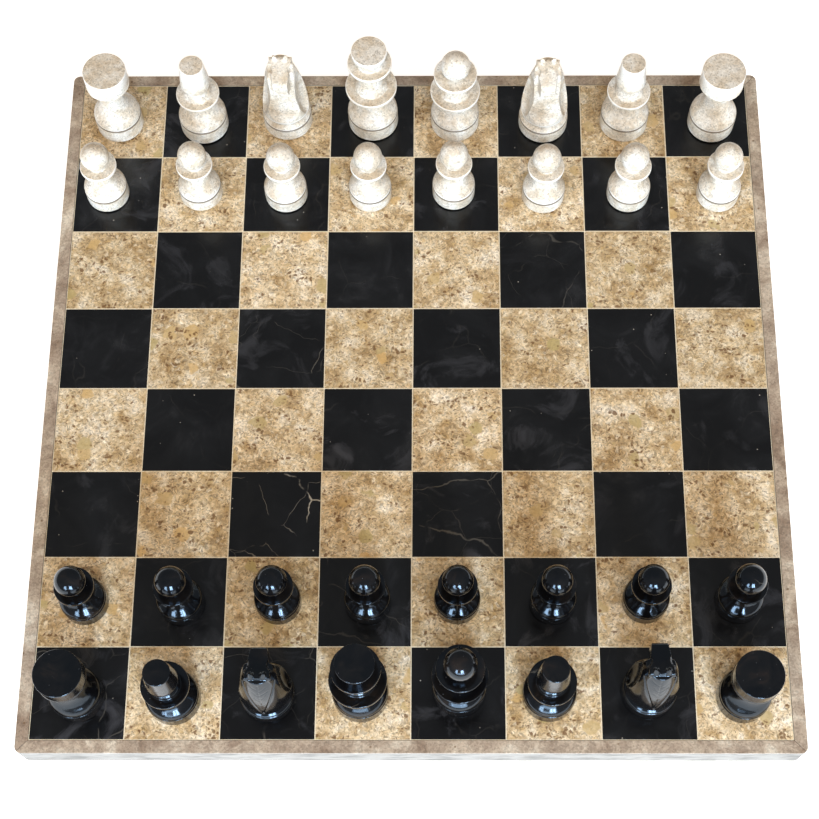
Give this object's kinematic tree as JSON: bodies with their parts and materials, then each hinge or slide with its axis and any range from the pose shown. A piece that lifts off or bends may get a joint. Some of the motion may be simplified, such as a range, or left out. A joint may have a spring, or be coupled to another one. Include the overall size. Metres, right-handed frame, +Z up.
{
  "type": "chess set with board",
  "caption": "Stone chess set: a square chequered board of inlaid tiles with a mitred border, and turned stone men that lift off it.",
  "frame": {"origin": "the middle of the board's underside, on the surface that the set stands on", "axes": "+Z up; +Y from Black's side to White's side; +X from file h to file a"},
  "size_m": [0.381, 0.381, 0.0848],
  "materials": {
    "cream_stone": "polished cream fossil stone with fine beige specks",
    "black_stone": "mirror polished black stone with rare thin pale veins",
    "dark_tile_stone": "polished black stone with faint grey clouds and thin pale veins",
    "light_tile_stone": "honed beige coral stone with brown and ochre speckle",
    "border_stone": "honed plain tan stone with small pits",
    "backing_stone": "sawn grey-beige stone",
    "felt": "dense dark green wool felt"
  },
  "bodies": {
    "board": {"backing_slab": "backing_stone", "border_near": "border_stone", "border_right": "border_stone", "border_far": "border_stone", "border_left": "border_stone", "light_tiles_h1_h1": "light_tile_stone", "dark_tiles_h2_g1": "dark_tile_stone", "light_tiles_h3_f1": "light_tile_stone", "dark_tiles_h4_e1": "dark_tile_stone", "light_tiles_h5_d1": "light_tile_stone", "dark_tiles_h6_c1": "dark_tile_stone", "light_tiles_h7_b1": "light_tile_stone", "dark_tiles_h8_a1": "dark_tile_stone", "light_tiles_g8_a2": "light_tile_stone", "dark_tiles_f8_a3": "dark_tile_stone", "light_tiles_e8_a4": "light_tile_stone", "dark_tiles_d8_a5": "dark_tile_stone", "light_tiles_c8_a6": "light_tile_stone", "dark_tiles_b8_a7": "dark_tile_stone", "light_tiles_a8_a8": "light_tile_stone", "pad_near_left": "felt", "pad_near_right": "felt", "pad_far_left": "felt", "pad_far_right": "felt"},
    "lifted_white_rook_h": {"white_rook_h": "cream_stone"},
    "lifted_white_bishop_g": {"white_bishop_g": "cream_stone"},
    "lifted_white_knight_f": {"white_knight_f": "cream_stone"},
    "lifted_white_king_e": {"white_king_e": "cream_stone"},
    "lifted_white_queen_d": {"white_queen_d": "cream_stone"},
    "lifted_white_knight_c": {"white_knight_c": "cream_stone"},
    "lifted_white_bishop_b": {"white_bishop_b": "cream_stone"},
    "lifted_white_rook_a": {"white_rook_a": "cream_stone"},
    "lifted_white_pawn_h": {"white_pawn_h": "cream_stone"},
    "lifted_white_pawn_g": {"white_pawn_g": "cream_stone"},
    "lifted_white_pawn_f": {"white_pawn_f": "cream_stone"},
    "lifted_white_pawn_e": {"white_pawn_e": "cream_stone"},
    "lifted_white_pawn_d": {"white_pawn_d": "cream_stone"},
    "lifted_white_pawn_c": {"white_pawn_c": "cream_stone"},
    "lifted_white_pawn_b": {"white_pawn_b": "cream_stone"},
    "lifted_white_pawn_a": {"white_pawn_a": "cream_stone"},
    "lifted_black_rook_h": {"black_rook_h": "black_stone"},
    "lifted_black_bishop_g": {"black_bishop_g": "black_stone"},
    "lifted_black_knight_f": {"black_knight_f": "black_stone"},
    "lifted_black_king_e": {"black_king_e": "black_stone"},
    "lifted_black_queen_d": {"black_queen_d": "black_stone"},
    "lifted_black_bishop_c": {"black_bishop_c": "black_stone"},
    "lifted_black_knight_b": {"black_knight_b": "black_stone"},
    "lifted_black_rook_a": {"black_rook_a": "black_stone"},
    "lifted_black_pawn_h": {"black_pawn_h": "black_stone"},
    "lifted_black_pawn_g": {"black_pawn_g": "black_stone"},
    "lifted_black_pawn_f": {"black_pawn_f": "black_stone"},
    "lifted_black_pawn_e": {"black_pawn_e": "black_stone"},
    "lifted_black_pawn_d": {"black_pawn_d": "black_stone"},
    "lifted_black_pawn_c": {"black_pawn_c": "black_stone"},
    "lifted_black_pawn_b": {"black_pawn_b": "black_stone"},
    "lifted_black_pawn_a": {"black_pawn_a": "black_stone"}
  },
  "joints": [
    {"name": "white_rook_h_lift", "type": "slide", "parent": "board", "child": "lifted_white_rook_h", "axis": [0, 0, 1], "range_m": [0, 0.09]},
    {"name": "white_bishop_g_lift", "type": "slide", "parent": "board", "child": "lifted_white_bishop_g", "axis": [0, 0, 1], "range_m": [0, 0.09]},
    {"name": "white_knight_f_lift", "type": "slide", "parent": "board", "child": "lifted_white_knight_f", "axis": [0, 0, 1], "range_m": [0, 0.09]},
    {"name": "white_king_e_lift", "type": "slide", "parent": "board", "child": "lifted_white_king_e", "axis": [0, 0, 1], "range_m": [0, 0.09]},
    {"name": "white_queen_d_lift", "type": "slide", "parent": "board", "child": "lifted_white_queen_d", "axis": [0, 0, 1], "range_m": [0, 0.09]},
    {"name": "white_knight_c_lift", "type": "slide", "parent": "board", "child": "lifted_white_knight_c", "axis": [0, 0, 1], "range_m": [0, 0.09]},
    {"name": "white_bishop_b_lift", "type": "slide", "parent": "board", "child": "lifted_white_bishop_b", "axis": [0, 0, 1], "range_m": [0, 0.09]},
    {"name": "white_rook_a_lift", "type": "slide", "parent": "board", "child": "lifted_white_rook_a", "axis": [0, 0, 1], "range_m": [0, 0.09]},
    {"name": "white_pawn_h_lift", "type": "slide", "parent": "board", "child": "lifted_white_pawn_h", "axis": [0, 0, 1], "range_m": [0, 0.09]},
    {"name": "white_pawn_g_lift", "type": "slide", "parent": "board", "child": "lifted_white_pawn_g", "axis": [0, 0, 1], "range_m": [0, 0.09]},
    {"name": "white_pawn_f_lift", "type": "slide", "parent": "board", "child": "lifted_white_pawn_f", "axis": [0, 0, 1], "range_m": [0, 0.09]},
    {"name": "white_pawn_e_lift", "type": "slide", "parent": "board", "child": "lifted_white_pawn_e", "axis": [0, 0, 1], "range_m": [0, 0.09]},
    {"name": "white_pawn_d_lift", "type": "slide", "parent": "board", "child": "lifted_white_pawn_d", "axis": [0, 0, 1], "range_m": [0, 0.09]},
    {"name": "white_pawn_c_lift", "type": "slide", "parent": "board", "child": "lifted_white_pawn_c", "axis": [0, 0, 1], "range_m": [0, 0.09]},
    {"name": "white_pawn_b_lift", "type": "slide", "parent": "board", "child": "lifted_white_pawn_b", "axis": [0, 0, 1], "range_m": [0, 0.09]},
    {"name": "white_pawn_a_lift", "type": "slide", "parent": "board", "child": "lifted_white_pawn_a", "axis": [0, 0, 1], "range_m": [0, 0.09]},
    {"name": "black_rook_h_lift", "type": "slide", "parent": "board", "child": "lifted_black_rook_h", "axis": [0, 0, 1], "range_m": [0, 0.09]},
    {"name": "black_bishop_g_lift", "type": "slide", "parent": "board", "child": "lifted_black_bishop_g", "axis": [0, 0, 1], "range_m": [0, 0.09]},
    {"name": "black_knight_f_lift", "type": "slide", "parent": "board", "child": "lifted_black_knight_f", "axis": [0, 0, 1], "range_m": [0, 0.09]},
    {"name": "black_king_e_lift", "type": "slide", "parent": "board", "child": "lifted_black_king_e", "axis": [0, 0, 1], "range_m": [0, 0.09]},
    {"name": "black_queen_d_lift", "type": "slide", "parent": "board", "child": "lifted_black_queen_d", "axis": [0, 0, 1], "range_m": [0, 0.09]},
    {"name": "black_bishop_c_lift", "type": "slide", "parent": "board", "child": "lifted_black_bishop_c", "axis": [0, 0, 1], "range_m": [0, 0.09]},
    {"name": "black_knight_b_lift", "type": "slide", "parent": "board", "child": "lifted_black_knight_b", "axis": [0, 0, 1], "range_m": [0, 0.09]},
    {"name": "black_rook_a_lift", "type": "slide", "parent": "board", "child": "lifted_black_rook_a", "axis": [0, 0, 1], "range_m": [0, 0.09]},
    {"name": "black_pawn_h_lift", "type": "slide", "parent": "board", "child": "lifted_black_pawn_h", "axis": [0, 0, 1], "range_m": [0, 0.09]},
    {"name": "black_pawn_g_lift", "type": "slide", "parent": "board", "child": "lifted_black_pawn_g", "axis": [0, 0, 1], "range_m": [0, 0.09]},
    {"name": "black_pawn_f_lift", "type": "slide", "parent": "board", "child": "lifted_black_pawn_f", "axis": [0, 0, 1], "range_m": [0, 0.09]},
    {"name": "black_pawn_e_lift", "type": "slide", "parent": "board", "child": "lifted_black_pawn_e", "axis": [0, 0, 1], "range_m": [0, 0.09]},
    {"name": "black_pawn_d_lift", "type": "slide", "parent": "board", "child": "lifted_black_pawn_d", "axis": [0, 0, 1], "range_m": [0, 0.09]},
    {"name": "black_pawn_c_lift", "type": "slide", "parent": "board", "child": "lifted_black_pawn_c", "axis": [0, 0, 1], "range_m": [0, 0.09]},
    {"name": "black_pawn_b_lift", "type": "slide", "parent": "board", "child": "lifted_black_pawn_b", "axis": [0, 0, 1], "range_m": [0, 0.09]},
    {"name": "black_pawn_a_lift", "type": "slide", "parent": "board", "child": "lifted_black_pawn_a", "axis": [0, 0, 1], "range_m": [0, 0.09]}
  ]
}
